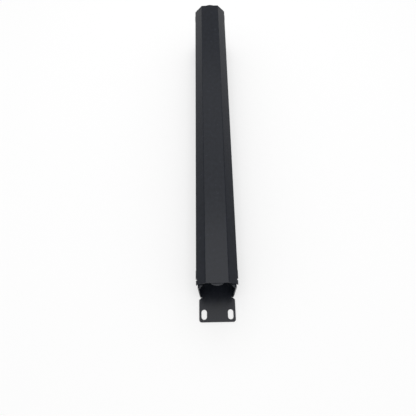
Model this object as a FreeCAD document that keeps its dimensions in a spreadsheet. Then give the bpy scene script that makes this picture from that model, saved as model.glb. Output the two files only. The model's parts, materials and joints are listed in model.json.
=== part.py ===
"""Horizontal cable manager, 1U high, for a 19-inch rack.

A folded steel channel with fingers along both sides carries the cables, and a folded steel cover
clips on over the finger tips. X runs across the rack, Y up the rack and Z out of its front, so the
manager lies on its back with the rear face of its ears at Z = 0. All lengths are in millimetres.
"""

import FreeCAD, Part
import os

import Sketcher

# Driving dimensions: alias, value and what it measures.
DIMENSIONS = (
    ("panel_length", 482.6, "overall length, the width of a 19-inch panel"),
    ("panel_height", 43.6, "height of an ear, a 1U panel"),
    ("hole_pitch", 31.75, "mounting slots, lower to upper"),
    ("mount_inset", 8.75, "middle of a mounting slot, in from the end of the panel"),
    ("mount_slot_width", 6.5, "mounting slot, across"),
    ("mount_slot_length", 11.6, "mounting slot, along the panel"),
    ("ear_length", 28.8, "ear, from the end of the walls to the end of the panel"),
    ("ear_corner_radius", 3.0, "outer corners of an ear"),
    ("ear_inner_chamfer", 2.4, "corners of an ear beside its bend reliefs"),
    ("relief_length", 0.4, "slit that frees the end of a wall's bend from its ear"),
    ("sheet", 1.2, "sheet of the channel"),
    ("bend_radius", 1.2, "inside radius of the channel's bends"),
    ("channel_width", 41.0, "outside of one wall to outside of the other"),
    ("channel_depth", 66.7, "rear face to the top of the finger tips"),
    ("tip_width", 8.3, "finger tip, bent in from the outside of its wall"),
    ("tip_corner_radius", 4.5, "free corners of a finger tip"),
    ("end_tip_chamfer", 5.4, "outermost corners of the first and last finger tips"),
    ("slot_count", 12, "cable slots in each wall"),
    ("slot_floor", 15.0, "lowest point of a cable slot above the rear face"),
    ("finger_width", 12.0, "finger between two cable slots"),
    ("end_finger_width", 23.0, "first and last finger of a wall"),
    ("passage_count", 4, "cable passages through the back"),
    ("passage_pitch", 104.0, "from one cable passage to the next"),
    ("passage_length", 64.0, "cable passage, along the channel"),
    ("passage_width", 22.0, "cable passage, across the channel"),
    ("cover_sheet", 1.0, "sheet of the cover"),
    ("cover_bend_radius", 0.5, "inside radius of the cover's bends"),
    ("cover_flat", 24.3, "flat front of the cover, across"),
    ("bevel_angle", 45.0, "slope of the cover's bevels, in degrees"),
    ("skirt_depth", 6.0, "cover skirt, below its bend"),
    ("skirt_chamfer", 3.0, "lower corners of a skirt"),
    ("cover_setback", 3.3, "end of the cover, in from the end of the walls"),
    ("side_gap", 0.7, "room between a wall and a cover skirt"),
    ("seat_clearance", 0.3, "cover bevel to the bend of a finger tip"),
    ("tab_width", 14.0, "pull tab, across"),
    ("tab_reach", 2.7, "pull tab, out from the end of the cover"),
    ("tab_step", 0.5, "joggle at the root of a pull tab, along the cover"),
    ("tab_drop", 0.8, "joggle at the root of a pull tab, downwards"),
    ("notch_width", 2.0, "relief notch beside a clip"),
    ("notch_inset", 4.6, "relief notch, in from the end of the cover"),
    ("notch_rise", 1.0, "roof of a relief notch, above the bend of its skirt"),
    ("clip_sheet", 0.3, "spring steel of a clip"),
    ("clip_length", 9.0, "clip, along the skirt"),
    ("clip_height", 4.6, "legs of a clip, up from the skirt's edge"),
    ("clip_clearance", 0.25, "bowed leg of a clip to its wall"),
)

# Sizes that follow from the driving dimensions. The corners of a finger tip leave a little of its end
# and of its flat straight.
DERIVED = (
    ("half_panel", "Dims.panel_length / 2"),
    ("half_ear", "Dims.panel_height / 2"),
    ("mount_centre", "half_panel - Dims.mount_inset"),
    ("channel_length", "Dims.panel_length - 2 * Dims.ear_length"),
    ("half_channel", "channel_length / 2"),
    ("half_width", "Dims.channel_width / 2"),
    ("outer_bend", "Dims.sheet + Dims.bend_radius"),
    ("neck_edge", "half_width - outer_bend"),
    ("relief_end", "half_channel + Dims.relief_length"),
    ("tip_edge", "half_width - Dims.tip_width"),
    ("tip_flat", "Dims.tip_width - outer_bend"),
    ("finger_limit", "0.45 * Dims.finger_width"),
    ("flat_limit", "0.97 * tip_flat"),
    ("tip_rounding", "min(Dims.tip_corner_radius; finger_limit; flat_limit)"),
    ("end_chamfer", "min(Dims.end_tip_chamfer; flat_limit)"),
    ("fingers_width", "2 * Dims.end_finger_width + (Dims.slot_count - 1) * Dims.finger_width"),
    ("slot_width", "(channel_length - fingers_width) / Dims.slot_count"),
    ("slot_pitch", "slot_width + Dims.finger_width"),
    ("first_slot", "Dims.end_finger_width + slot_width / 2 - half_channel"),
    ("first_passage", "-(Dims.passage_count - 1) * Dims.passage_pitch / 2"),
    ("cover_length", "channel_length - 2 * Dims.cover_setback"),
    ("cover_end", "cover_length / 2"),
    ("cover_side", "half_width + Dims.side_gap + Dims.cover_sheet"),
    ("cover_bend", "Dims.cover_sheet + Dims.cover_bend_radius"),
    ("bevel_lift", "outer_bend + Dims.seat_clearance + Dims.cover_sheet"),
    ("seat_height", "Dims.channel_depth - outer_bend + bevel_lift / cos(Dims.bevel_angle * 1 deg)"),
    ("bevel_slope", "tan(Dims.bevel_angle * 1 deg)"),
    ("skirt_top", "seat_height - (cover_side - neck_edge) * bevel_slope"),
    ("cover_top", "seat_height + (neck_edge - Dims.cover_flat / 2) * bevel_slope"),
    ("skirt_foot", "skirt_top - Dims.skirt_depth"),
    ("tab_root", "cover_end + Dims.tab_step"),
    ("tab_end", "cover_end + Dims.tab_reach"),
    ("tab_top", "cover_top - Dims.tab_drop"),
    ("tab_radius", "(Dims.tab_width ^ 2 / 4 + Dims.tab_reach ^ 2) / (2 * Dims.tab_reach)"),
    ("notch_outer", "cover_end - Dims.notch_inset"),
    ("notch_inner", "notch_outer - Dims.notch_width"),
    ("clip_centre", "notch_inner - Dims.clip_length / 2"),
    ("clip_bow", "Dims.side_gap - Dims.clip_sheet - Dims.clip_clearance"),
)

# Two places count as one below this distance, and two directions as parallel above this cosine.
TOUCHING = 0.01
PARALLEL = 0.999

doc = FreeCAD.newDocument("cable_manager")


def make_sheets():
    """Fill one sheet with the driving dimensions and another with what follows from them."""
    dims = doc.addObject("Spreadsheet::Sheet", "Dims")
    for row, (alias, value, meaning) in enumerate(DIMENSIONS, start=1):
        dims.set(f"A{row}", meaning)
        dims.set(f"B{row}", str(value))
        dims.setAlias(f"B{row}", alias)
    derived = doc.addObject("Spreadsheet::Sheet", "Derived")
    for row, (alias, formula) in enumerate(DERIVED, start=1):
        derived.set(f"A{row}", alias)
        derived.setAlias(f"B{row}", alias)
        derived.set(f"B{row}", "=" + formula)
    doc.recompute()
    return derived


derived = make_sheets()


def number(expression):
    """Value of an expression in the sheets' aliases, as a plain number."""
    result = derived.evalExpression(expression)
    return float(getattr(result, "Value", result))


def new_body(label):
    """Empty body whose label is the name of its piece."""
    body = doc.addObject("PartDesign::Body", label)
    body.Label = label
    return body


def origin_feature(body, role):
    """The body's own origin plane or axis with that role."""
    return next(item for item in body.Origin.OriginFeatures if item.Role == role)


def new_sketch(body, plane, name, offset=None):
    """Sketch on an origin plane, moved along the plane's normal by an expression."""
    sketch = body.newObject("Sketcher::SketchObject", name)
    sketch.AttachmentSupport = [(origin_feature(body, plane), "")]
    sketch.MapMode = "FlatFace"
    if offset:
        sketch.setExpression("AttachmentOffset.Base.z", offset)
    return sketch


def bind(sketch, kind, *reference, to):
    """Add a dimension to a sketch and bind it to an expression."""
    index = sketch.addConstraint(Sketcher.Constraint(kind, *reference, number(to)))
    sketch.setExpression(f"Constraints[{index}]", to)


def place_point(sketch, geometry, position, x, y):
    """Dimension one point of a sketch from its origin."""
    bind(sketch, "DistanceX", -1, 1, geometry, position, to=x)
    bind(sketch, "DistanceY", -1, 1, geometry, position, to=y)


def add_outline(sketch, corners):
    """Closed straight-sided outline through corners given as pairs of expressions."""
    points = [FreeCAD.Vector(number(x), number(y), 0) for x, y in corners]
    sides = []
    for start, end in zip(points, points[1:] + points[:1]):
        sides.append(sketch.addGeometry(Part.LineSegment(start, end), False))
    for side, after in zip(sides, sides[1:] + sides[:1]):
        sketch.addConstraint(Sketcher.Constraint("Coincident", side, 2, after, 1))
    for side, (x, y) in zip(sides, corners):
        place_point(sketch, side, 1, x, y)
    return sides


def add_rectangle(sketch, left, bottom, right, top):
    """Rectangle between four expressions."""
    return add_outline(sketch, [(left, bottom), (right, bottom), (right, top), (left, top)])


def add_stadium(sketch, first, second, radius):
    """Slot with round ends: two centres as pairs of expressions, and the radius of its ends."""
    start = FreeCAD.Vector(*(number(value) for value in first), 0)
    finish = FreeCAD.Vector(*(number(value) for value in second), 0)
    along = (finish - start).normalize()
    across = FreeCAD.Vector(-along.y, along.x, 0) * number(radius)
    ahead = along * number(radius)
    cap = sketch.addGeometry(Part.Arc(finish - across, finish + ahead, finish + across), False)
    upper = sketch.addGeometry(Part.LineSegment(finish + across, start + across), False)
    tail = sketch.addGeometry(Part.Arc(start + across, start - ahead, start - across), False)
    lower = sketch.addGeometry(Part.LineSegment(start - across, finish - across), False)
    for side, after in ((cap, upper), (upper, tail), (tail, lower), (lower, cap)):
        sketch.addConstraint(Sketcher.Constraint("Tangent", side, 2, after, 1))
    place_point(sketch, cap, 3, *second)
    place_point(sketch, tail, 3, *first)
    bind(sketch, "Radius", cap, to=radius)
    sketch.addConstraint(Sketcher.Constraint("Equal", cap, tail))


def pad(body, sketch, length, both_ways=False):
    """Raise a sketch by an expression, from its plane or to both sides of it."""
    feature = body.newObject("PartDesign::Pad", sketch.Name + "_pad")
    feature.Profile = sketch
    feature.SideType = "Symmetric" if both_ways else "One side"
    feature.setExpression("Length", length)
    sketch.Visibility = False
    doc.recompute()
    return feature


def cut(body, sketch, depth=None, upwards=False):
    """Cut a sketch to a depth, or right through to both sides, and see that it took material."""
    before = body.Shape.Volume
    feature = body.newObject("PartDesign::Pocket", sketch.Name + "_cut")
    feature.Profile = sketch
    if depth:
        feature.Reversed = upwards
        feature.setExpression("Length", depth)
    else:
        feature.Type = "ThroughAll"
        feature.SideType = "Symmetric"
    sketch.Visibility = False
    doc.recompute()
    if not body.Shape.Volume < before:
        raise RuntimeError(f"{sketch.Name} cuts nothing")
    return feature


def repeat_along(body, feature, step, count):
    """Row of copies of a feature along X."""
    row = body.newObject("PartDesign::LinearPattern", feature.Name + "_row")
    row.Originals = [feature]
    row.Direction = (origin_feature(body, "X_Axis"), [""])
    row.setExpression("Length", f"{step} * ({count} - 1)")
    row.setExpression("Occurrences", count)
    body.Tip = row
    doc.recompute()
    return row


def mirror_ends(body, features):
    """Copy features from the +X end to the -X end."""
    mirror = body.newObject("PartDesign::Mirrored", features[-1].Name + "_mirror")
    mirror.Originals = features
    mirror.MirrorPlane = (origin_feature(body, "YZ_Plane"), [""])
    body.Tip = mirror
    doc.recompute()
    return mirror


def straight_edges(shape, axis, wanted):
    """Names of the straight edges along an axis whose middle passes a test."""
    names = []
    for index, edge in enumerate(shape.Edges, start=1):
        if not isinstance(edge.Curve, Part.Line):
            continue
        run = edge.Vertexes[-1].Point - edge.Vertexes[0].Point
        if abs(run.normalize().dot(axis)) > PARALLEL and wanted(edge.CenterOfMass):
            names.append(f"Edge{index}")
    return names


def round_edges(body, axis, wanted, radius, name):
    """Fillet the straight edges along an axis whose middle passes a test."""
    base = body.Tip
    feature = body.newObject("PartDesign::Fillet", name)
    feature.Base = (base, straight_edges(base.Shape, axis, wanted))
    feature.setExpression("Radius", radius)
    doc.recompute()
    return feature


def chamfer_edges(body, axis, wanted, size, name):
    """Chamfer the straight edges along an axis whose middle passes a test."""
    base = body.Tip
    feature = body.newObject("PartDesign::Chamfer", name)
    feature.Base = (base, straight_edges(base.Shape, axis, wanted))
    feature.setExpression("Size", size)
    doc.recompute()
    return feature


def level_with(value, expression):
    """Whether a coordinate, on either side of the middle, is that of an expression."""
    return abs(abs(value) - number(expression)) < TOUCHING


def at_corner(axis_values, expressions):
    """Whether several coordinates are each level with their expression."""
    return all(level_with(value, expression) for value, expression in zip(axis_values, expressions))


def fold_shell(body, open_normals, sheet, name):
    """Turn a solid block into folded sheet, open on the faces with the given normals."""
    base = body.Tip
    faces = []
    for index, face in enumerate(base.Shape.Faces, start=1):
        normal = face.normalAt(0, 0)
        if any(normal.dot(wanted) > PARALLEL for wanted in open_normals):
            faces.append(f"Face{index}")
    shell = body.newObject("PartDesign::Thickness", name)
    shell.Base = (base, faces)
    shell.Reversed = True
    shell.setExpression("Value", sheet)
    doc.recompute()
    return shell


ALONG = FreeCAD.Vector(1, 0, 0)
ACROSS = FreeCAD.Vector(0, 1, 0)
OUTWARD = FreeCAD.Vector(0, 0, 1)


def make_finger_channel():
    """One folded sheet: back, ears, and two walls cut into fingers with bent-in tips."""
    body = new_body("finger_channel")

    section = new_sketch(body, "YZ_Plane", "channel_section")
    add_rectangle(section, "-Derived.half_width", "0", "Derived.half_width", "Dims.channel_depth")
    pad(body, section, "Derived.channel_length", both_ways=True)
    round_edges(body, ALONG, lambda middle: True, "Derived.outer_bend", "channel_bends")
    fold_shell(body, (ALONG, -ALONG), "Dims.sheet", "channel_sheet")

    # The front stays open between the finger tips.
    mouth = new_sketch(body, "XY_Plane", "channel_mouth", offset="Dims.channel_depth")
    end, side = "Derived.half_panel", "Derived.tip_edge"
    add_rectangle(mouth, "-" + end, "-" + side, end, side)
    cut(body, mouth, depth="Derived.outer_bend")

    # A cable slot has a round floor and runs out through the finger tips.
    slot = new_sketch(body, "XZ_Plane", "cable_slot")
    add_cable_slot(slot)
    repeat_along(body, cut(body, slot), "Derived.slot_pitch", "Dims.slot_count")

    def at_tip(middle):
        return level_with(middle.y, "Derived.tip_edge")

    def at_wall_end(middle):
        return level_with(middle.x, "Derived.half_channel")

    round_edges(
        body,
        OUTWARD,
        lambda middle: at_tip(middle) and not at_wall_end(middle),
        "Derived.tip_rounding",
        "finger_tips",
    )
    chamfer_edges(
        body,
        OUTWARD,
        lambda middle: at_tip(middle) and at_wall_end(middle),
        "Derived.end_chamfer",
        "end_finger_tips",
    )

    # The back runs on past the walls as two ears.
    ears = new_sketch(body, "XY_Plane", "ears")
    inner, outer, side = "Derived.half_channel", "Derived.half_panel", "Derived.half_ear"
    add_rectangle(ears, inner, "-" + side, outer, side)
    add_rectangle(ears, "-" + outer, "-" + side, "-" + inner, side)
    pad(body, ears, "Dims.sheet")
    round_edges(
        body,
        OUTWARD,
        lambda middle: level_with(middle.x, "Derived.half_panel"),
        "Dims.ear_corner_radius",
        "ear_corners",
    )

    # Reliefs free the ends of the two lower bends from the ears.
    reliefs = new_sketch(body, "XY_Plane", "bend_reliefs")
    radius = "Dims.relief_length / 2"
    for end in ("", "-"):
        centre = f"{end}(Derived.half_channel + {radius})"
        for side in ("", "-"):
            inner = f"{side}(Derived.neck_edge + {radius})"
            outer = f"{side}(Derived.half_ear + Dims.relief_length)"
            add_stadium(reliefs, (centre, inner), (centre, outer), radius)
    cut(body, reliefs, depth="Dims.sheet", upwards=True)
    chamfer_edges(
        body,
        OUTWARD,
        lambda middle: at_corner((middle.x, middle.y), ("Derived.relief_end", "Derived.half_ear")),
        "Dims.ear_inner_chamfer",
        "ear_inner_corners",
    )

    mounts = new_sketch(body, "XY_Plane", "mounting_slots")
    radius = "Dims.mount_slot_width / 2"
    reach = "(Dims.mount_slot_length - Dims.mount_slot_width) / 2"
    for end in ("", "-"):
        for side in ("", "-"):
            row = f"{side}Dims.hole_pitch / 2"
            inner = f"{end}(Derived.mount_centre - {reach})"
            outer = f"{end}(Derived.mount_centre + {reach})"
            add_stadium(mounts, (inner, row), (outer, row), radius)
    cut(body, mounts, depth="Dims.sheet", upwards=True)

    passage = new_sketch(body, "XY_Plane", "cable_passage")
    reach = "(Dims.passage_length - Dims.passage_width) / 2"
    add_stadium(
        passage,
        (f"Derived.first_passage - {reach}", "0"),
        (f"Derived.first_passage + {reach}", "0"),
        "Dims.passage_width / 2",
    )
    first = cut(body, passage, depth="Dims.sheet", upwards=True)
    repeat_along(body, first, "Dims.passage_pitch", "Dims.passage_count")
    return body


def add_cable_slot(sketch):
    """Outline of the first cable slot: a half-round floor and straight sides past the tips."""
    radius = number("Derived.slot_width / 2")
    centre = FreeCAD.Vector(number("Derived.first_slot"), number("Dims.slot_floor") + radius, 0)
    top = number("Dims.channel_depth + Dims.sheet")
    side = FreeCAD.Vector(radius, 0, 0)
    lowest = centre - FreeCAD.Vector(0, radius, 0)
    upper_left = FreeCAD.Vector(centre.x - radius, top, 0)
    upper_right = FreeCAD.Vector(centre.x + radius, top, 0)
    floor = sketch.addGeometry(Part.Arc(centre - side, lowest, centre + side), False)
    right = sketch.addGeometry(Part.LineSegment(centre + side, upper_right), False)
    lid = sketch.addGeometry(Part.LineSegment(upper_right, upper_left), False)
    left = sketch.addGeometry(Part.LineSegment(upper_left, centre - side), False)
    sketch.addConstraint(Sketcher.Constraint("Tangent", floor, 2, right, 1))
    sketch.addConstraint(Sketcher.Constraint("Tangent", left, 2, floor, 1))
    sketch.addConstraint(Sketcher.Constraint("Coincident", right, 2, lid, 1))
    sketch.addConstraint(Sketcher.Constraint("Coincident", lid, 2, left, 1))
    sketch.addConstraint(Sketcher.Constraint("Vertical", right))
    sketch.addConstraint(Sketcher.Constraint("Vertical", left))
    sketch.addConstraint(Sketcher.Constraint("Horizontal", lid))
    place_point(sketch, floor, 3, "Derived.first_slot", "Dims.slot_floor + Derived.slot_width / 2")
    bind(sketch, "Radius", floor, to="Derived.slot_width / 2")
    bind(sketch, "DistanceY", -1, 1, lid, 1, to="Dims.channel_depth + Dims.sheet")


def make_front_cover():
    """One folded sheet: flat front, two bevels and two skirts, with a pull tab at each end."""
    body = new_body("front_cover")

    section = new_sketch(body, "YZ_Plane", "cover_section")
    add_outline(
        section,
        [
            ("-Derived.cover_side", "Derived.skirt_foot"),
            ("Derived.cover_side", "Derived.skirt_foot"),
            ("Derived.cover_side", "Derived.skirt_top"),
            ("Dims.cover_flat / 2", "Derived.cover_top"),
            ("-Dims.cover_flat / 2", "Derived.cover_top"),
            ("-Derived.cover_side", "Derived.skirt_top"),
        ],
    )
    pad(body, section, "Derived.cover_length", both_ways=True)
    round_edges(
        body,
        ALONG,
        lambda middle: not level_with(middle.z, "Derived.skirt_foot"),
        "Derived.cover_bend",
        "cover_bends",
    )
    fold_shell(body, (ALONG, -ALONG, -OUTWARD), "Dims.cover_sheet", "cover_sheet")
    chamfer_edges(
        body,
        ACROSS,
        lambda middle: at_corner((middle.x, middle.z), ("Derived.cover_end", "Derived.skirt_foot")),
        "Dims.skirt_chamfer",
        "skirt_corners",
    )

    # A notch near each end of both skirts frees the clip's stretch of skirt.
    notches = new_sketch(body, "XZ_Plane", "clip_notches")
    foot, roof = "Derived.skirt_foot", "Derived.skirt_top + Dims.notch_rise"
    add_rectangle(notches, "Derived.notch_inner", foot, "Derived.notch_outer", roof)
    add_rectangle(notches, "-Derived.notch_outer", foot, "-Derived.notch_inner", roof)
    cut(body, notches)

    # A pull tab steps down by its joggle and ends in one round edge.
    blank = new_sketch(body, "XZ_Plane", "pull_tab")
    add_outline(
        blank,
        [
            ("Derived.cover_end", "Derived.cover_top"),
            ("Derived.cover_end", "Derived.cover_top - Dims.cover_sheet"),
            ("Derived.tab_root", "Derived.tab_top - Dims.cover_sheet"),
            ("Derived.tab_end", "Derived.tab_top - Dims.cover_sheet"),
            ("Derived.tab_end", "Derived.tab_top"),
            ("Derived.tab_root", "Derived.tab_top"),
        ],
    )
    tab = pad(body, blank, "Dims.tab_width", both_ways=True)
    trim = new_sketch(body, "XY_Plane", "pull_tab_edge", offset="Derived.cover_top")
    add_tab_trim(trim)
    edge = cut(body, trim, depth="Dims.cover_sheet + Dims.tab_drop")
    mirror_ends(body, [tab, edge])
    return body


def add_tab_trim(sketch):
    """Outline of the metal outside a pull tab's round edge."""
    half = "Dims.tab_width / 2"
    clear = "Derived.tab_end + Dims.tab_reach"
    near = FreeCAD.Vector(number("Derived.cover_end"), -number(half), 0)
    far = FreeCAD.Vector(near.x, -near.y, 0)
    crown = FreeCAD.Vector(number("Derived.tab_end"), 0, 0)
    outer_near = FreeCAD.Vector(number(clear), near.y, 0)
    outer_far = FreeCAD.Vector(number(clear), far.y, 0)
    lower = sketch.addGeometry(Part.LineSegment(near, outer_near), False)
    outer = sketch.addGeometry(Part.LineSegment(outer_near, outer_far), False)
    upper = sketch.addGeometry(Part.LineSegment(outer_far, far), False)
    arc = sketch.addGeometry(Part.Arc(near, crown, far), False)
    sketch.addConstraint(Sketcher.Constraint("Coincident", lower, 2, outer, 1))
    sketch.addConstraint(Sketcher.Constraint("Coincident", outer, 2, upper, 1))
    sketch.addConstraint(Sketcher.Constraint("Coincident", upper, 2, arc, 2))
    sketch.addConstraint(Sketcher.Constraint("Coincident", arc, 1, lower, 1))
    place_point(sketch, lower, 1, "Derived.cover_end", "-" + half)
    place_point(sketch, outer, 1, clear, "-" + half)
    place_point(sketch, upper, 1, clear, half)
    place_point(sketch, upper, 2, "Derived.cover_end", half)
    bind(sketch, "Radius", arc, to="Derived.tab_radius")


def make_clip(label, end, side):
    """Spring clip pushed over the edge of a skirt, its inner leg bowed towards the wall.

    end and side are "" for the +X end and the +Y skirt, and "-" for the other ones.
    """
    body = new_body(label)
    outer_face = "Derived.cover_side"
    inner_face = "Derived.cover_side - Dims.cover_sheet"
    leg_face = f"{inner_face} - Dims.clip_sheet"
    foot = "Derived.skirt_foot"
    top = f"{foot} + Dims.clip_height"
    corners = [
        (f"{outer_face} + Dims.clip_sheet", f"{foot} - Dims.clip_sheet"),
        (f"{outer_face} + Dims.clip_sheet", top),
        (outer_face, top),
        (outer_face, foot),
        (inner_face, foot),
        (inner_face, top),
        (leg_face, top),
        (f"{leg_face} - Derived.clip_bow", f"{foot} + Dims.clip_height / 2"),
        (leg_face, f"{foot} - Dims.clip_sheet"),
    ]
    section = new_sketch(body, "YZ_Plane", label + "_section", offset=f"{end}Derived.clip_centre")
    add_outline(section, [(f"{side}({y})", z) for y, z in corners])
    pad(body, section, "Dims.clip_length", both_ways=True)
    round_edges(
        body,
        ALONG,
        lambda middle: level_with(middle.z, "Derived.skirt_foot - Dims.clip_sheet"),
        "Dims.clip_sheet",
        label + "_bends",
    )
    return body


CLIPS = (
    ("clip_upper_right", "", ""),
    ("clip_upper_left", "-", ""),
    ("clip_lower_right", "", "-"),
    ("clip_lower_left", "-", "-"),
)

pieces = [make_finger_channel(), make_front_cover()]
for clip_label, clip_end, clip_side in CLIPS:
    pieces.append(make_clip(clip_label, clip_end, clip_side))

doc.recompute()
for item in doc.Objects:
    if "Invalid" in item.State or "Error" in item.State:
        raise RuntimeError(f"{item.Label} failed: {item.State}")
for piece in pieces:
    if piece.Shape.isNull() or not piece.Shape.isValid() or len(piece.Shape.Solids) != 1:
        raise RuntimeError(f"{piece.Label} is not one valid solid")

os.makedirs("parts", exist_ok=True)
for piece in pieces:
    piece.Shape.exportStep(f"parts/{piece.Label}.step")
    print(piece.Label, round(piece.Shape.Volume), "mm3", piece.Shape.BoundBox)
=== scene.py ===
"""Looks of a 1U horizontal cable manager: coated sheet steel, spring clips, studio and camera.

The channel and the cover are folded from flat blanks, as on a press brake: an outline is drawn corner
by corner, its corners are rounded, the holes are left open, and the sheet is rolled up along its bends
from the middle outwards. Lengths are in metres, written as millimetres times MM.
"""

import json
import logging
import math
from collections.abc import Callable, Iterable, Sequence
from dataclasses import dataclass, field
from enum import Enum

import bmesh
import bpy
from mathutils import Matrix, Vector


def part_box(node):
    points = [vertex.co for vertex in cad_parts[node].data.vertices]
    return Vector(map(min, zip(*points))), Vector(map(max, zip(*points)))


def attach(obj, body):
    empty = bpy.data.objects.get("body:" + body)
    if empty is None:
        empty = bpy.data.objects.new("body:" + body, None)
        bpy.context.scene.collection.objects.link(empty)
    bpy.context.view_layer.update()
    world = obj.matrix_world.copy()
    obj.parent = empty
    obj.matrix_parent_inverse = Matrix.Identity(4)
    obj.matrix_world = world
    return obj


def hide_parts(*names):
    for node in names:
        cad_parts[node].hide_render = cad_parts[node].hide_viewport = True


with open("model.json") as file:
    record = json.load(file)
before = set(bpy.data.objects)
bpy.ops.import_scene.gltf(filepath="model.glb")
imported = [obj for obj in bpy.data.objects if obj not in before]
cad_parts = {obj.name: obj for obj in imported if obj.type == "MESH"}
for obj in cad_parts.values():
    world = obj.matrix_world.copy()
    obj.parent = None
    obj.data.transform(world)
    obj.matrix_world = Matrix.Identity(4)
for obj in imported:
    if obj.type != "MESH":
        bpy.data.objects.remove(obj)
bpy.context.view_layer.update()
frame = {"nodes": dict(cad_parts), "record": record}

MM = 0.001
WELD = 0.001 * MM
UP = Vector((0.0, 0.0, 1.0))
EDGE = "cut_edge"
log = logging.getLogger("cable_manager")


class Slot(Enum):
    """Material slots of the part's record."""

    CHANNEL = "channel_coat"
    COVER = "cover_coat"
    CLIP = "clip_steel"


class Body(Enum):
    """Bodies that the pieces move with."""

    CHANNEL = "channel"
    COVER = "cover"


def linear(colour: str) -> tuple[float, float, float, float]:
    """Turn a colour to Blender's linear values.

    Args:
        colour: sRGB hex value, such as "#2c2d30".

    Returns:
        Linear red, green and blue, and an alpha of 1.
    """
    parts = [int(colour[i : i + 2], 16) / 255 for i in (1, 3, 5)]
    red, green, blue = (c / 12.92 if c <= 0.04045 else ((c + 0.055) / 1.055) ** 2.4 for c in parts)
    return red, green, blue, 1.0


def add_node(
    tree: bpy.types.NodeTree,
    kind: str,
    settings: dict[str | int, object] | None = None,
    links: dict[str | int, bpy.types.NodeSocket] | None = None,
) -> bpy.types.Node:
    """Add a node with its settings and links.

    Args:
        tree: node tree that takes the node.
        kind: type of the node.
        settings: values by the name or number of an input socket, or by the name of a property.
        links: output sockets by the name or number of the input socket that they feed.

    Returns:
        The new node.
    """
    node = tree.nodes.new(kind)
    for key, value in (settings or {}).items():
        if isinstance(key, int) or key in node.inputs:
            node.inputs[key].default_value = value
        else:
            setattr(node, key, value)
    for key, socket in (links or {}).items():
        tree.links.new(socket, node.inputs[key])
    return node


def new_material(name: str) -> tuple[bpy.types.Material, bpy.types.NodeTree]:
    """Add an empty node material.

    Args:
        name: name of the finish.

    Returns:
        The material and its node tree.
    """
    material = bpy.data.materials.new(name)
    material.use_nodes = True
    material.node_tree.nodes.clear()
    return material, material.node_tree


@dataclass(frozen=True)
class PowderCoat:
    """Polyester powder, sprayed on steel and baked: a cool satin black with a fine sandy grain.

    Little light comes back from inside the coat, so its grey is mostly the sheen of the lamps above,
    which the grain breaks up. Over the rounded cut edges the powder flows out evenly.
    """

    name: str
    colour: str = "#14171d"
    thick_colour: str = "#1f222a"
    edge_colour: str = "#191c22"
    ior: float = 1.5
    specular: float = 0.15
    roughness: tuple[float, float] = (0.21, 0.29)
    edge_roughness: float = 0.24
    grain: float = 0.9 * MM  # a real grain is about 0.3 mm, too fine to show in the render
    grain_detail: float = 2.0
    grain_height: float = 0.03 * MM
    grain_strength: float = 0.5
    mottle: float = 5 * MM  # patches where the coat lies thinner or thicker
    mottle_detail: float = 3.0
    mottle_share: float = 0.7
    fine_share: float = 0.6
    thickness_range: tuple[float, float] = (0.25, 0.75)

    def build(self) -> bpy.types.Material:
        """Mix the thin and the thick coat by grain and mottle, and make it even on the cut edges.

        Returns:
            The coat's material.
        """
        material, tree = new_material(self.name)
        place = add_node(tree, "ShaderNodeTexCoord").outputs["Object"]
        grain = add_node(
            tree,
            "ShaderNodeTexNoise",
            {"Scale": 1 / self.grain, "Detail": self.grain_detail, "Roughness": self.fine_share},
            {"Vector": place},
        )
        mottle = add_node(
            tree,
            "ShaderNodeTexNoise",
            {"Scale": 1 / self.mottle, "Detail": self.mottle_detail, "Roughness": self.fine_share},
            {"Vector": place},
        )
        lumps = add_node(
            tree,
            "ShaderNodeMix",
            {0: self.mottle_share},
            {2: grain.outputs["Fac"], 3: mottle.outputs["Fac"]},
        )
        thinnest, thickest = self.thickness_range
        thickness = add_node(
            tree,
            "ShaderNodeMapRange",
            {"From Min": thinnest, "From Max": thickest},
            {"Value": lumps.outputs[0]},
        ).outputs["Result"]
        face_colour = add_node(
            tree,
            "ShaderNodeMix",
            {"data_type": "RGBA", 6: linear(self.colour), 7: linear(self.thick_colour)},
            {0: thickness},
        )
        face_roughness = add_node(
            tree,
            "ShaderNodeMix",
            {2: self.roughness[0], 3: self.roughness[1]},
            {0: thickness},
        )
        edge = add_node(tree, "ShaderNodeAttribute", {"attribute_name": EDGE}).outputs["Fac"]
        colour = add_node(
            tree,
            "ShaderNodeMix",
            {"data_type": "RGBA", 7: linear(self.edge_colour)},
            {0: edge, 6: face_colour.outputs[2]},
        )
        roughness = add_node(
            tree,
            "ShaderNodeMix",
            {3: self.edge_roughness},
            {0: edge, 2: face_roughness.outputs[0]},
        )
        bump = add_node(
            tree,
            "ShaderNodeBump",
            {"Strength": self.grain_strength, "Distance": self.grain_height},
            {"Height": grain.outputs["Fac"]},
        )
        shader = add_node(
            tree,
            "ShaderNodeBsdfPrincipled",
            {"IOR": self.ior, "Specular IOR Level": self.specular},
            {
                "Base Color": colour.outputs[2],
                "Roughness": roughness.outputs[0],
                "Normal": bump.outputs["Normal"],
            },
        )
        add_node(tree, "ShaderNodeOutputMaterial", links={"Surface": shader.outputs["BSDF"]})
        return material


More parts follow.
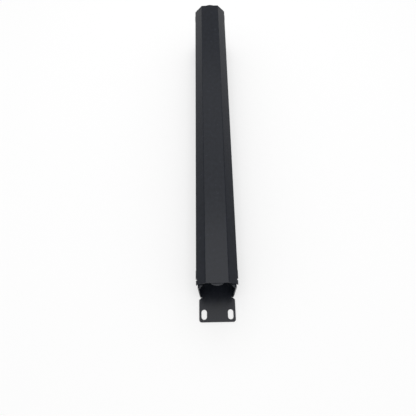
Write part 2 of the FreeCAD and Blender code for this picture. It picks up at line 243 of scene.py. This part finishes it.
@dataclass(frozen=True)
class BlackenedSteel:
    """Spring steel strip, blackened in a hot salt bath: a thin dark oxide that stays metallic.

    Faint rolling marks run along the strip and lighten it a little, and its cut edges are painted lighter
    as a highlight.
    """

    name: str
    colour: str = "#3a3b3f"
    # painted highlight: the lighter colour that the cut edges are painted, also reached in part along the
    # rolling marks
    marks_and_edge_highlight_colour: str = "#55575c"
    roughness: float = 0.36
    rolling: float = 0.5 * MM  # rolling marks, drawn coarser than the real ones so that they show
    rolling_stretch: tuple[float, float, float] = (0.08, 1.0, 1.0)
    rolling_detail: float = 2.0
    rolling_height: float = 0.01 * MM
    rolling_strength: float = 0.2
    marks_share: float = 0.3

    def build(self) -> bpy.types.Material:
        """Lay the rolling marks along the strip, lighten it a little along them, and paint a highlight on
        the cut edges.

        Returns:
            The steel's material.
        """
        material, tree = new_material(self.name)
        place = add_node(tree, "ShaderNodeTexCoord").outputs["Object"]
        drawn_out = add_node(tree, "ShaderNodeMapping", {"Scale": self.rolling_stretch}, {"Vector": place})
        marks = add_node(
            tree,
            "ShaderNodeTexNoise",
            {"Scale": 1 / self.rolling, "Detail": self.rolling_detail},
            {"Vector": drawn_out.outputs["Vector"]},
        )
        edge = add_node(tree, "ShaderNodeAttribute", {"attribute_name": EDGE}).outputs["Fac"]
        # painted highlight on the cut edges, added to the rolling marks' own lighter tone
        marks_and_edge_highlight = add_node(
            tree,
            "ShaderNodeMath",
            {"operation": "MULTIPLY_ADD", 1: self.marks_share},
            {0: marks.outputs["Fac"], 2: edge},
        )
        colour = add_node(
            tree,
            "ShaderNodeMix",
            {"data_type": "RGBA", 6: linear(self.colour), 7: linear(self.marks_and_edge_highlight_colour)},
            {0: marks_and_edge_highlight.outputs[0]},
        )
        bump = add_node(
            tree,
            "ShaderNodeBump",
            {"Strength": self.rolling_strength, "Distance": self.rolling_height},
            {"Height": marks.outputs["Fac"]},
        )
        shader = add_node(
            tree,
            "ShaderNodeBsdfPrincipled",
            {"Metallic": 1.0, "Roughness": self.roughness},
            {"Base Color": colour.outputs[2], "Normal": bump.outputs["Normal"]},
        )
        add_node(tree, "ShaderNodeOutputMaterial", links={"Surface": shader.outputs["BSDF"]})
        return material


@dataclass(frozen=True)
class Corner:
    """Corner of a blank's outline, and how far along its sides its rounding or chamfer reaches."""

    x: float
    y: float
    rounding: float = 0.0
    chamfered: bool = False

    def mirrored(self, x: float = 1.0, y: float = 1.0) -> "Corner":
        """Same corner on the other side of the blank, where the factor is -1."""
        return Corner(x * self.x, y * self.y, self.rounding, self.chamfered)


@dataclass(frozen=True)
class Run:
    """Straight stretch of a folded section."""

    length: float


@dataclass(frozen=True)
class Bend:
    """Round stretch of a folded section, on the sheet's outer face; a positive turn leads upwards."""

    radius: float
    turn: float

    @property
    def length(self) -> float:
        """Length along the outer face."""
        return self.radius * abs(self.turn)


@dataclass(frozen=True)
class FoldedSection:
    """Half of a sheet's section, followed along its outer face from the middle outwards."""

    height: float
    steps: tuple[Run | Bend, ...]
    facets: int = 6

    @property
    def reach(self) -> float:
        """Half width of the flat blank."""
        return sum(step.length for step in self.steps)

    def place(self, distance: float) -> tuple[float, float]:
        """Find where a point of the blank comes to lie.

        Args:
            distance: how far the point is from the middle of the blank.

        Returns:
            Its distance across the part and its height.
        """
        across, height, heading = 0.0, self.height, 0.0
        for step in self.steps:
            walked = min(distance, step.length)
            turned = 0.0
            ahead = walked
            if isinstance(step, Bend):
                turned = math.copysign(walked / step.radius, step.turn)
                ahead = 2 * step.radius * math.sin(abs(turned) / 2)
            across += ahead * math.cos(heading + turned / 2)
            height += ahead * math.sin(heading + turned / 2)
            heading += turned
            distance -= walked
        return across, height

    def creases(self) -> list[float]:
        """Find the lines that divide the blank, so that its bends come out round.

        Returns:
            Distances of the lines from the middle.
        """
        lines = []
        start = 0.0
        for step in self.steps:
            if isinstance(step, Bend):
                lines += [start + step.length * i / self.facets for i in range(self.facets + 1)]
            start += step.length
        return lines


class Blank:
    """Sheet of metal on its way from a flat outline to a folded piece."""

    arc_step = 0.4 * MM
    fewest_arc_facets = 4
    edge_facets = 2
    flat_limit = math.radians(1)
    crease_limit = math.radians(40)
    edge_limit = math.radians(65)

    def __init__(self) -> None:
        """Start with no metal."""
        self.mesh = bmesh.new()
        self.edge = self.mesh.faces.layers.float.new(EDGE)

    def outline(self, corners: Sequence[Corner]) -> None:
        """Draw a closed outline, or a hole, with its corners rounded.

        Args:
            corners: its corners, in order.
        """
        verts = [self.mesh.verts.new((corner.x, corner.y, 0.0)) for corner in corners]
        self.mesh.faces.new(verts)
        shapes = {(corner.rounding, corner.chamfered) for corner in corners if corner.rounding}
        for rounding, chamfered in sorted(shapes):
            matches = [(c.rounding, c.chamfered) == (rounding, chamfered) for c in corners]
            facets = max(self.fewest_arc_facets, round(rounding / self.arc_step))
            bmesh.ops.bevel(
                self.mesh,
                geom=[vert for vert, match in zip(verts, matches) if match],
                offset=rounding,
                offset_type="OFFSET",
                segments=1 if chamfered else facets,
                profile=0.5,
                affect="VERTICES",
                clamp_overlap=False,
                material=-1,
            )

    def fill(self, outside: Vector) -> None:
        """Put metal between the outline and the holes.

        Args:
            outside: direction that the sheet's outer face looks in.
        """
        bmesh.ops.remove_doubles(self.mesh, verts=self.mesh.verts, dist=WELD)
        bmesh.ops.delete(self.mesh, geom=self.mesh.faces[:], context="FACES_ONLY")
        bmesh.ops.triangle_fill(self.mesh, use_beauty=True, edges=self.mesh.edges[:], normal=outside)

    def join(self, outside: Vector) -> None:
        """Join outlines that share an edge.

        Args:
            outside: direction that the sheet's outer face looks in.
        """
        bmesh.ops.remove_doubles(self.mesh, verts=self.mesh.verts, dist=WELD)
        self.mesh.normal_update()
        turned = [face for face in self.mesh.faces if face.normal.dot(outside) < 0]
        bmesh.ops.reverse_faces(self.mesh, faces=turned)

    def divide(self, places: Iterable[float], across: Vector) -> None:
        """Divide the sheet along straight lines on both sides of its middle.

        Args:
            places: distances of the lines from the middle.
            across: direction in which they are measured.
        """
        for place in places:
            for side in (place, -place):
                bmesh.ops.bisect_plane(
                    self.mesh,
                    geom=[*self.mesh.verts, *self.mesh.edges, *self.mesh.faces],
                    dist=WELD,
                    plane_co=across * side,
                    plane_no=across,
                )

    def fold(self, place: Callable[[Vector], Vector]) -> None:
        """Move every point of the flat sheet to its folded place.

        Args:
            place: finds the folded place of a point of the flat sheet.
        """
        for vert in self.mesh.verts:
            vert.co = place(vert.co)
        self.mesh.normal_update()
        bmesh.ops.dissolve_limit(
            self.mesh,
            angle_limit=self.flat_limit,
            verts=self.mesh.verts[:],
            edges=self.mesh.edges[:],
        )

    def thicken(self, sheet: float) -> None:
        """Give the folded sheet its thickness, inwards from its outer face."""
        bmesh.ops.solidify(self.mesh, geom=self.mesh.faces[:], thickness=sheet)
        bmesh.ops.recalc_face_normals(self.mesh, faces=self.mesh.faces[:])

    def soften(self, width: float) -> None:
        """Round the cut edges by the thickness of their coat.

        Args:
            width: how far the rounding reaches along the faces.
        """
        sharp = [edge for edge in self.mesh.edges if edge.calc_face_angle(0.0) > self.edge_limit]
        softened = bmesh.ops.bevel(
            self.mesh,
            geom=sharp,
            offset=width,
            offset_type="OFFSET",
            segments=self.edge_facets,
            profile=0.5,
            affect="EDGES",
            clamp_overlap=True,
            material=-1,
        )
        for face in softened["faces"]:
            face[self.edge] = 1.0

    def finish(self, name: str) -> bpy.types.Object:
        """Make a smooth-shaded object of the sheet, with crisp creases, and add it to the scene.

        Args:
            name: name of the piece.

        Returns:
            The finished piece.
        """
        data = bpy.data.meshes.new(name)
        for face in self.mesh.faces:
            face.smooth = True
        for edge in self.mesh.edges:
            edge.smooth = edge.calc_face_angle(0.0) < self.crease_limit
        self.mesh.to_mesh(data)
        self.mesh.free()
        piece = bpy.data.objects.new(name, data)
        bpy.context.scene.collection.objects.link(piece)
        normals = piece.modifiers.new("flat_faces", "WEIGHTED_NORMAL")
        normals.keep_sharp = True
        return piece


def dress(
    piece: bpy.types.Object,
    node: str,
    body: Body,
    slot: Slot,
    material: bpy.types.Material,
) -> None:
    """Give a piece its finish and let it stand for a node of the frame.

    Args:
        piece: the finished piece.
        node: node that the piece replaces.
        body: body that it moves with.
        slot: material slot of the record that the finish belongs to; not used.
        material: the finish.
    """
    piece.data.materials.append(material)
    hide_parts(node)
    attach(piece, body.value)
    log.info("%s: %d faces", piece.name, len(piece.data.polygons))


@dataclass
class FingerChannel:
    """Folded channel: back, two ears, and two walls cut into fingers with bent-in tips."""

    node: str = "finger_channel"
    sheet: float = 1.2 * MM
    outer_bend: float = 2.4 * MM
    width: float = 41.0 * MM
    ear_length: float = 28.8 * MM
    ear_corner: float = 3.0 * MM
    ear_inner_chamfer: float = 2.4 * MM
    relief: float = 0.4 * MM
    tip_width: float = 8.3 * MM
    tip_corner: float = 4.5 * MM
    end_tip_chamfer: float = 5.4 * MM
    slots: int = 12
    slot_floor: float = 15.0 * MM
    finger: float = 12.0 * MM
    end_finger: float = 23.0 * MM
    passages: int = 4
    passage_pitch: float = 104.0 * MM
    passage_length: float = 64.0 * MM
    passage_width: float = 22.0 * MM
    edge_round: float = 0.25 * MM
    half_length: float = field(init=False)
    half_ear: float = field(init=False)
    depth: float = field(init=False)

    def __post_init__(self) -> None:
        """Take the outer sizes from the frame."""
        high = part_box(self.node)[1]
        self.half_length, self.half_ear, self.depth = high

    @property
    def half_channel(self) -> float:
        """Half length of the walls."""
        return self.half_length - self.ear_length

    @property
    def neck(self) -> float:
        """Half width of the flat back between the walls' bends."""
        return self.width / 2 - self.outer_bend

    def section(self) -> FoldedSection:
        """Follow the sheet from the middle of the back to the edge of a finger tip.

        Returns:
            Half of the channel's section.
        """
        bend = Bend(self.outer_bend, math.pi / 2)
        wall = Run(self.depth - 2 * self.outer_bend)
        tip = Run(self.tip_width - self.outer_bend)
        return FoldedSection(0.0, (Run(self.neck), bend, wall, bend, tip))

    def slot_sides(self) -> list[tuple[float, float]]:
        """Share out the wall between the fingers.

        Returns:
            Left and right side of every cable slot.
        """
        fingers = 2 * self.end_finger + (self.slots - 1) * self.finger
        width = (2 * self.half_channel - fingers) / self.slots
        first = self.end_finger - self.half_channel
        lefts = [first + i * (width + self.finger) for i in range(self.slots)]
        return [(left, left + width) for left in lefts]

    def side_outline(self, section: FoldedSection) -> list[Corner]:
        """Draw the edge of the blank's upper half, from the left ear to the right one.

        Args:
            section: half section that the blank is folded to.

        Returns:
            Corners of the edge, from left to right.
        """
        edge = section.reach
        floor = self.neck + section.steps[1].length + self.slot_floor - self.outer_bend
        relief_end = self.half_channel + self.relief
        ear = [
            Corner(self.half_length, self.half_ear, self.ear_corner),
            Corner(relief_end, self.half_ear, self.ear_inner_chamfer, chamfered=True),
            Corner(relief_end, self.neck),
            Corner(self.half_channel, self.neck),
            Corner(self.half_channel, edge, self.end_tip_chamfer, chamfered=True),
        ]
        corners = [corner.mirrored(x=-1) for corner in ear]
        for left, right in self.slot_sides():
            half = (right - left) / 2
            corners += [
                Corner(left, edge, self.tip_corner),
                Corner(left, floor, half),
                Corner(right, floor, half),
                Corner(right, edge, self.tip_corner),
            ]
        return corners + ear[::-1]

    @staticmethod
    def oblong(x: float, y: float, length: float, width: float) -> list[Corner]:
        """Draw a hole with round ends.

        Args:
            x: middle of the hole, along the part.
            y: middle of the hole, across the part.
            length: size along the part.
            width: size across the part.

        Returns:
            Corners of the hole, each rounded by half the width.
        """
        half = width / 2
        signs = ((-1, -1), (1, -1), (1, 1), (-1, 1))
        return [Corner(x + i * length / 2, y + j * half, half) for i, j in signs]

    def holes(self) -> list[list[Corner]]:
        """Draw the mounting slots in the ears and the cable passages in the back.

        Returns:
            Corners of every hole.
        """
        mount = next(m for m in frame["record"]["mounts"] if m["kind"] == "bolt_pattern")["dims"]
        x, y = mount["spacing_x_mm"] * MM / 2, mount["spacing_y_mm"] * MM / 2
        length, width = mount["slot_length_mm"] * MM, 2 * mount["hole_r_mm"] * MM
        found = [self.oblong(i * x, j * y, length, width) for i in (-1, 1) for j in (-1, 1)]
        first = -(self.passages - 1) * self.passage_pitch / 2
        for i in range(self.passages):
            centre = first + i * self.passage_pitch
            found.append(self.oblong(centre, 0.0, self.passage_length, self.passage_width))
        return found

    def build(self, material: bpy.types.Material) -> None:
        """Cut the blank, fold it and coat it.

        Args:
            material: the powder coat.
        """
        section = self.section()
        blank = Blank()
        upper = self.side_outline(section)
        blank.outline(upper + [corner.mirrored(y=-1) for corner in reversed(upper)])
        for hole in self.holes():
            blank.outline(hole)
        blank.fill(-UP)
        blank.divide(section.creases(), Vector((0, 1, 0)))
        wall_end = self.half_channel + self.relief / 2

        def place(point: Vector) -> Vector:
            """Leave the ears flat, and roll up the walls between them.

            Args:
                point: point of the flat blank.

            Returns:
                Its folded place.
            """
            if abs(point.x) > wall_end:
                return Vector((point.x, point.y, 0.0))
            across, height = section.place(abs(point.y))
            return Vector((point.x, math.copysign(across, point.y), height))

        blank.fold(place)
        blank.thicken(self.sheet)
        blank.soften(self.edge_round)
        dress(blank.finish("coated_channel"), self.node, Body.CHANNEL, Slot.CHANNEL, material)


@dataclass
class FrontCover:
    """Folded cover: flat front, two bevels and two skirts, with a pull tab at each end."""

    node: str = "front_cover"
    sheet: float = 1.0 * MM
    outer_bend: float = 1.5 * MM
    flat: float = 24.3 * MM
    bevel_turn: float = math.radians(45)
    skirt: float = 6.0 * MM
    skirt_chamfer: float = 3.0 * MM
    tab_width: float = 14.0 * MM
    tab_reach: float = 2.7 * MM
    tab_step: float = 0.5 * MM
    tab_drop: float = 0.8 * MM
    tab_facets: int = 14
    notch_width: float = 2.0 * MM
    notch_inset: float = 4.6 * MM
    notch_rise: float = 1.0 * MM
    edge_round: float = 0.2 * MM
    half_length: float = field(init=False)
    half_width: float = field(init=False)
    top: float = field(init=False)

    def __post_init__(self) -> None:
        """Take the outer sizes from the frame."""
        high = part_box(self.node)[1]
        self.half_length = high.x - self.tab_reach
        self.half_width, self.top = high.y, high.z

    @property
    def setback(self) -> float:
        """From a bend's tangent to where its two flats would meet."""
        return self.outer_bend * math.tan(self.bevel_turn / 2)

    def section(self) -> FoldedSection:
        """Follow the sheet from the middle of the front to the foot of a skirt.

        Returns:
            Half of the cover's section.
        """
        bend = Bend(self.outer_bend, -self.bevel_turn)
        bevel = (self.half_width - self.flat / 2) / math.cos(self.bevel_turn)
        front = Run(self.flat / 2 - self.setback)
        skirt = Run(self.skirt - self.setback)
        return FoldedSection(self.top, (front, bend, Run(bevel - 2 * self.setback), bend, skirt))

    def side_outline(self, section: FoldedSection) -> list[Corner]:
        """Draw the edge of the blank's upper half, from the left end to the right one.

        Args:
            section: half section that the blank is folded to.

        Returns:
            Corners of the edge, from left to right.
        """
        outer = self.half_length - self.notch_inset
        inner = outer - self.notch_width
        edge = section.reach
        bend, skirt = section.steps[-2:]
        rise = self.notch_rise / math.sin(self.bevel_turn) - self.setback
        roof = edge - skirt.length - bend.length - rise
        right = [
            Corner(inner, edge),
            Corner(inner, roof),
            Corner(outer, roof),
            Corner(outer, edge),
            Corner(self.half_length, edge, self.skirt_chamfer, chamfered=True),
            Corner(self.half_length, self.tab_width / 2),
        ]
        return [corner.mirrored(x=-1) for corner in reversed(right)] + right

    def tab_outline(self, end: int) -> list[Corner]:
        """Draw a pull tab: an arc between the two corners of its foot.

        Args:
            end: 1 for the right end of the cover, -1 for the left one.

        Returns:
            Points of the arc.
        """
        half = self.tab_width / 2
        radius = (half**2 + self.tab_reach**2) / (2 * self.tab_reach)
        centre = self.half_length + self.tab_reach - radius
        sweep = math.asin(half / radius)
        angles = [sweep * (2 * i / self.tab_facets - 1) for i in range(self.tab_facets + 1)]
        return [Corner(end * (centre + radius * math.cos(a)), radius * math.sin(a)) for a in angles]

    def build(self, material: bpy.types.Material) -> None:
        """Cut the blank, fold it and coat it.

        Args:
            material: the powder coat.
        """
        section = self.section()
        blank = Blank()
        upper = self.side_outline(section)
        lower = [corner.mirrored(y=-1) for corner in reversed(upper)]
        blank.outline(upper + lower)
        for end in (1, -1):
            blank.outline(self.tab_outline(end))
        blank.join(UP)
        blank.divide(section.creases(), Vector((0, 1, 0)))
        blank.divide([self.half_length + self.tab_step], Vector((1, 0, 0)))

        def place(point: Vector) -> Vector:
            """Roll the sides down, and step the tabs down from the ends of the front.

            Args:
                point: point of the flat blank.

            Returns:
                Its folded place.
            """
            across, height = section.place(abs(point.y))
            past = min(max(0.0, abs(point.x) - self.half_length), self.tab_step)
            drop = past * self.tab_drop / self.tab_step
            return Vector((point.x, math.copysign(across, point.y), height - drop))

        blank.fold(place)
        blank.thicken(self.sheet)
        blank.soften(self.edge_round)
        dress(blank.finish("coated_cover"), self.node, Body.COVER, Slot.COVER, material)


@dataclass
class SpringClip:
    """Strip of spring steel pushed over the edge of a skirt, its inner leg bowed towards the wall."""

    node: str
    sheet: float = 0.3 * MM
    skirt_sheet: float = 1.0 * MM
    bow: float = 0.15 * MM
    foot_bend: float = 0.45 * MM
    leg_corner: float = 0.8 * MM
    leg_corner_facets: int = 4
    edge_round: float = 0.08 * MM

    def section(self, outer: float, bottom: float, top: float) -> list[Corner]:
        """Draw the clip as it is seen along the skirt.

        Args:
            outer: outside of the outer leg, from the middle of the part.
            bottom: underside of the clip.
            top: ends of its legs.

        Returns:
            Corners of the section, across and upwards.
        """
        skirt_outside = outer - self.sheet
        skirt_inside = skirt_outside - self.skirt_sheet
        inner = skirt_inside - self.sheet
        foot = bottom + self.sheet
        return [
            Corner(outer, bottom, self.foot_bend),
            Corner(outer, top),
            Corner(skirt_outside, top),
            Corner(skirt_outside, foot),
            Corner(skirt_inside, foot),
            Corner(skirt_inside, top),
            Corner(inner, top),
            Corner(inner - self.bow, (foot + top) / 2),
            Corner(inner, bottom, self.foot_bend),
        ]

    def round_legs(self, strip: Blank, top: float) -> None:
        """Round the free corners of both legs.

        Args:
            strip: the clip, pulled to its length.
            top: height of the ends of its legs.
        """
        corners = []
        for edge in strip.mesh.edges:
            first, second = (vert.co for vert in edge.verts)
            if min(first.z, second.z) > top - WELD and abs(first.x - second.x) < WELD:
                corners.append(edge)
        bmesh.ops.bevel(
            strip.mesh,
            geom=corners,
            offset=self.leg_corner,
            offset_type="OFFSET",
            segments=self.leg_corner_facets,
            profile=0.5,
            affect="EDGES",
            clamp_overlap=False,
            material=-1,
        )

    def build(self, material: bpy.types.Material) -> None:
        """Draw the clip's section, pull it along the skirt and blacken it.

        Args:
            material: the blackened steel.
        """
        low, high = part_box(self.node)
        side = 1 if low.y > 0 else -1
        strip = Blank()
        strip.outline(self.section(max(high.y, -low.y), low.z, high.z))
        for vert in strip.mesh.verts:
            vert.co = Vector((low.x, side * vert.co.x, vert.co.y))
        drawn = bmesh.ops.extrude_face_region(strip.mesh, geom=strip.mesh.faces[:])["geom"]
        moved = [item for item in drawn if isinstance(item, bmesh.types.BMVert)]
        bmesh.ops.translate(strip.mesh, verts=moved, vec=(high.x - low.x, 0.0, 0.0))
        bmesh.ops.recalc_face_normals(strip.mesh, faces=strip.mesh.faces[:])
        self.round_legs(strip, high.z)
        strip.soften(self.edge_round)
        dress(strip.finish("steel_" + self.node), self.node, Body.COVER, Slot.CLIP, material)


@dataclass(frozen=True)
class Softbox:
    """Lamp with a soft rectangular face, hung level, its width along the part and its height across."""

    name: str
    place: tuple[float, float, float]
    width: float
    height: float
    watts: float

    def build(self) -> None:
        """Add the lamp."""
        lamp = bpy.data.lights.new(self.name, "AREA")
        lamp.shape = "RECTANGLE"
        lamp.size = self.width
        lamp.size_y = self.height
        lamp.energy = self.watts
        holder = bpy.data.objects.new(self.name, lamp)
        holder.location = self.place
        holder.visible_camera = False
        bpy.context.scene.collection.objects.link(holder)


@dataclass
class Studio:
    """Pale floor, soft light and the camera."""

    floor_half: float = 30.0
    floor_colour: str = "#fbfbfb"
    floor_roughness: float = 0.9
    floor_specular: float = 0.1
    floor_white: str = "#ffffff"
    floor_white_share: float = 0.5
    surround: float = 0.55
    lamps: tuple[Softbox, ...] = (
        Softbox("overhead_near", place=(0.2, 0.0, 1.45), width=1.2, height=0.7, watts=8.4),
        Softbox("overhead_far", place=(-1.0, 0.0, 1.45), width=1.2, height=1.4, watts=7.4),
    )
    camera_place: tuple[float, float, float] = (273.68 * MM, -3.17 * MM, 408.7 * MM)
    yaw: float = math.radians(1.999)
    pitch: float = math.radians(67.106)
    roll: float = math.radians(-3.19)
    image_px: float = 416.0
    focal_px: float = 344.03
    zoom: float = 0.95  # draws back a little, so that the far end is in the picture too
    lowered_px: float = 6.0
    sensor: float = 36.0
    nearest: float = 1 * MM

    def build_floor(self) -> None:
        """Lay the floor under the ears."""
        data = bpy.data.meshes.new("floor")
        sheet = bmesh.new()
        bmesh.ops.create_grid(sheet, x_segments=1, y_segments=1, size=self.floor_half)
        sheet.to_mesh(data)
        sheet.free()
        floor = bpy.data.objects.new("floor", data)
        bpy.context.scene.collection.objects.link(floor)
        data.materials.append(self.build_paper())

    def build_paper(self) -> bpy.types.Material:
        """Make the floor's matt white paper, whose shadow is seen paler than it falls.

        Returns:
            The paper's material.
        """
        material, tree = new_material("matt_white_paper")
        paper = add_node(
            tree,
            "ShaderNodeBsdfPrincipled",
            {
                "Base Color": linear(self.floor_colour),
                "Roughness": self.floor_roughness,
                "Specular IOR Level": self.floor_specular,
            },
        )
        white = add_node(tree, "ShaderNodeEmission", {"Color": linear(self.floor_white), "Strength": 1.0})
        ray = add_node(tree, "ShaderNodeLightPath").outputs
        mirrored = add_node(
            tree,
            "ShaderNodeMath",
            {"operation": "MAXIMUM"},
            {0: ray["Is Glossy Ray"], 1: ray["Is Transmission Ray"]},
        )
        seen = add_node(
            tree,
            "ShaderNodeMath",
            {"operation": "MAXIMUM"},
            {0: ray["Is Camera Ray"], 1: mirrored.outputs[0]},
        )
        share = add_node(
            tree,
            "ShaderNodeMath",
            {"operation": "MULTIPLY", 1: self.floor_white_share},
            {0: seen.outputs[0]},
        )
        surface = add_node(
            tree,
            "ShaderNodeMixShader",
            links={0: share.outputs[0], 1: paper.outputs["BSDF"], 2: white.outputs["Emission"]},
        )
        add_node(tree, "ShaderNodeOutputMaterial", links={"Surface": surface.outputs["Shader"]})
        return material

    def build_light(self) -> None:
        """Add the lamps and the light that comes from all around."""
        for lamp in self.lamps:
            lamp.build()
        world = bpy.data.worlds.new("studio")
        world.use_nodes = True
        background = world.node_tree.nodes["Background"]
        background.inputs["Color"].default_value = (1.0, 1.0, 1.0, 1.0)
        background.inputs["Strength"].default_value = self.surround
        bpy.context.scene.world = world

    def build_camera(self) -> None:
        """Set up the camera over the near end of the part, looking along it and down."""
        level = Vector((-math.cos(self.yaw), -math.sin(self.yaw), 0.0))
        side = Vector((-math.sin(self.yaw), math.cos(self.yaw), 0.0))
        ahead = level * math.cos(self.pitch) - UP * math.sin(self.pitch)
        upright = level * math.sin(self.pitch) + UP * math.cos(self.pitch)
        right = side * math.cos(self.roll) + upright * math.sin(self.roll)
        above = upright * math.cos(self.roll) - side * math.sin(self.roll)
        data = bpy.data.cameras.new("camera")
        data.sensor_width = self.sensor
        data.lens = self.zoom * self.focal_px * self.sensor / self.image_px
        data.shift_y = self.lowered_px / self.image_px
        data.clip_start = self.nearest
        camera = bpy.data.objects.new("camera", data)
        turn = Matrix((right, above, -ahead)).transposed().to_4x4()
        camera.matrix_world = Matrix.Translation(self.camera_place) @ turn
        bpy.context.scene.collection.objects.link(camera)
        bpy.context.scene.camera = camera

    def build(self) -> None:
        """Set up everything around the part."""
        self.build_floor()
        self.build_light()
        self.build_camera()
        bpy.context.scene.view_settings.view_transform = "Standard"


def main() -> None:
    """Build every piece and the studio."""
    logging.basicConfig(level=logging.INFO)
    coat = PowderCoat("black_powder_coat").build()
    FingerChannel().build(coat)
    FrontCover().build(coat)
    spring = BlackenedSteel("blackened_spring_steel").build()
    for node in sorted(name for name in frame["nodes"] if name.startswith("clip_")):
        SpringClip(node).build(spring)
    Studio().build()


if __name__ == "__main__":
    main()
